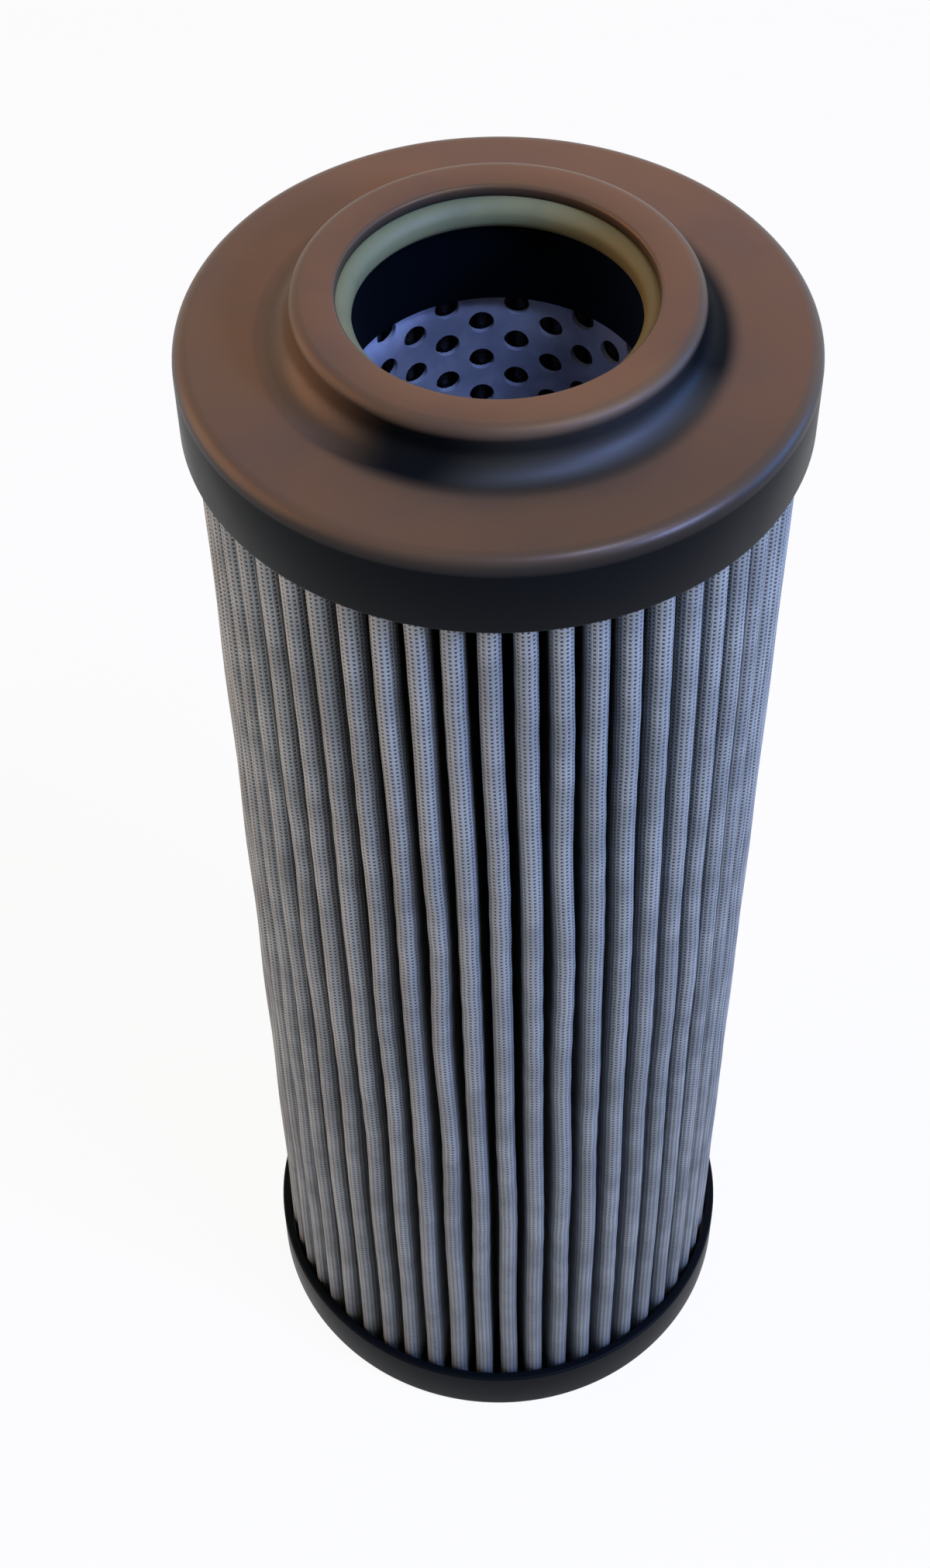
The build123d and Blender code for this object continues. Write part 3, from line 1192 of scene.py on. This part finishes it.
@dataclass
class Studio:
    """Camera, lamps, floor and surroundings."""

    camera_place: Place = (0.0, -0.1997, 0.3524)
    camera_turn: Place = (39.29, -0.96, 1.20)   # tilt from straight down, roll and heading, in degrees
    lens: float = 56.9          # in millimetres
    sensor: float = 36.0        # long side, in millimetres
    near_clip: float = 0.01
    floor_size: float = 6.0
    floor_colour: str = "#f2f2f2"
    floor_glow: float = 0.94    # share of its own white that the floor shows where it is seen
    surround: float = 0.13      # strength of the light from all round

    def build(self) -> None:
        """Sets up everything that isn't part of the element."""
        self.add_camera()
        self.add_lamp("warm_side_lamp", (-0.88, 0.05, 0.36), 0.8, 5.7, "#ffc8a0")
        self.add_lamp("cool_window_lamp", (0.68, -0.38, 0.6), 0.16, 7.4, "#94aeff")
        self.add_lamp("blue_side_lamp", (0.9, 0.12, 0.24), 0.4, 3.2, "#4898ff")
        self.add_lamp("high_window_lamp", (0.36, -0.36, 0.98), 0.2, 5.0, "#a0baff")
        self.add_lamp("back_wall_lamp", (0.1, 0.85, 0.7), 0.6, 1.4, "#ffa060")
        self.add_floor()
        self.add_surround()

    def add_camera(self) -> None:
        """Looks down on the element from the front."""
        data = bpy.data.cameras.new("camera")
        data.lens, data.sensor_width, data.clip_start = self.lens, self.sensor, self.near_clip
        turns = [math.radians(angle) for angle in self.camera_turn]
        tilt, roll, heading = (Matrix.Rotation(turn, 3, axis) for turn, axis in zip(turns, "XZZ"))
        turn = heading @ tilt @ roll
        camera = bpy.data.objects.new("camera", data)
        camera.location = self.camera_place
        camera.rotation_euler = turn.to_euler()
        bpy.context.scene.collection.objects.link(camera)
        bpy.context.scene.camera = camera

    def add_lamp(self, name: str, place: Place, size: float, power: float, colour: str) -> None:
        """Adds a soft square lamp that faces the element's middle.

        Args:
            name: Name of the lamp.
            place: Where it hangs.
            size: Length of its side.
            power: In watts.
            colour: Colour of its light.
        """
        data = bpy.data.lights.new(name, "AREA")
        data.size, data.energy, data.color = size, power, linear(colour)[:3]
        lamp = bpy.data.objects.new(name, data)
        lamp.location = place
        middle = Vector((0, 0, CAD_BOUNDS[1][2] / 2))
        lamp.rotation_euler = (middle - Vector(place)).to_track_quat("-Z", "Y").to_euler()
        bpy.context.scene.collection.objects.link(lamp)

    def seen_ray(self, add: Adder) -> NodeSocket:
        """Tells the rays that see white from the rays that carry light.

        Args:
            add: Adds a node.

        Returns:
            1 for rays of the camera, of reflections and through glass, 0 for the rest.
        """
        camera = add("LightPath", output="Is Camera Ray")
        rays = camera.node.outputs
        direct = add("Math", {0: camera, 1: rays["Is Glossy Ray"]}, operation="MAXIMUM")
        return add("Math", {0: direct, 1: rays["Is Transmission Ray"]}, operation="MAXIMUM")

    def add_floor(self) -> None:
        """A white floor that keeps the element's soft shadow."""
        select_nothing()
        bpy.ops.mesh.primitive_plane_add(size=self.floor_size)
        floor = bpy.context.object
        floor.name = "floor"
        material = bpy.data.materials.new("white_floor")
        material.use_nodes = True
        material.node_tree.nodes.clear()
        add = partial(add_node, material.node_tree)
        paint = add("BsdfDiffuse", {"Color": linear(self.floor_colour)})
        glow = add("Emission", {"Color": WHITE, "Strength": 1.0})
        share = add("Math", {0: self.seen_ray(add), 1: self.floor_glow}, operation="MULTIPLY")
        blend = add("MixShader", {0: share, 1: paint, 2: glow})
        add("OutputMaterial", {"Surface": blend})
        floor.data.materials.append(material)

    def add_surround(self) -> None:
        """Even soft light all round, seen as white."""
        world = bpy.data.worlds.new("surround")
        bpy.context.scene.world = world
        world.use_nodes = True
        world.node_tree.nodes.clear()
        add = partial(add_node, world.node_tree)
        strength = add("MapRange", {"Value": self.seen_ray(add), TO: (self.surround, 1.0)})
        sky = add("Background", {"Color": WHITE, "Strength": strength})
        add("OutputWorld", {"Surface": sky})


# -------------------------------- assembly


def pack_sheets() -> list[PleatedSheet]:
    """Nests the sheets of the pack from its outer face inwards.

    Returns:
        The sheets in that order.
    """
    wire = WovenWire()
    fleece = BondedFibre("polyester_fleece", "fleece")
    fibre = BondedFibre("glass_fibre_felt", "glass_fibre", ("#d0cdc4", "#b9b5aa"))
    plan = [
        ("outer_support_mesh", "outer_wire_mesh", wire, 0.22 * MM, (8, 2, 2, 44)),
        ("outer_fleece", "outer_fleece_sheet", fleece, 0.09 * MM, (4, 2, 1, 24)),
        ("filter_media", "glass_fibre_sheet", fibre, 0.27 * MM, (4, 2, 1, 24)),
        ("inner_fleece", "inner_fleece_sheet", fleece, 0.09 * MM, (4, 2, 1, 24)),
        ("inner_support_mesh", "inner_wire_mesh", wire, 0.22 * MM, (4, 4, 1, 24)),
    ]
    sheets, depth = [], 0.0
    for node, name, finish, thickness, steps in plan:
        sheets.append(PleatedSheet(node, name, finish, depth, thickness, *steps))
        depth += thickness + SHEET_GAP
    return sheets


def main() -> None:
    """Builds the element piece by piece."""
    logging.basicConfig(level=logging.INFO, format="%(name)s: %(message)s")
    bpy.context.scene.view_settings.view_transform = "Standard"
    Studio().build()
    EndCaps(MouldedPolyamide()).build()
    BoreSeal(SealRubber()).build()
    CoreTube(ZincPlatedSteel()).build()
    folding = Folding()
    for sheet in pack_sheets():
        sheet.build(folding)
    SeamClip(FoldedStrip()).build(folding)
    for bed in ("top_adhesive_bed", "bottom_adhesive_bed"):
        dress_solid(bed, CuredEpoxy())
    select_nothing()


if __name__ == "__main__":
    main()
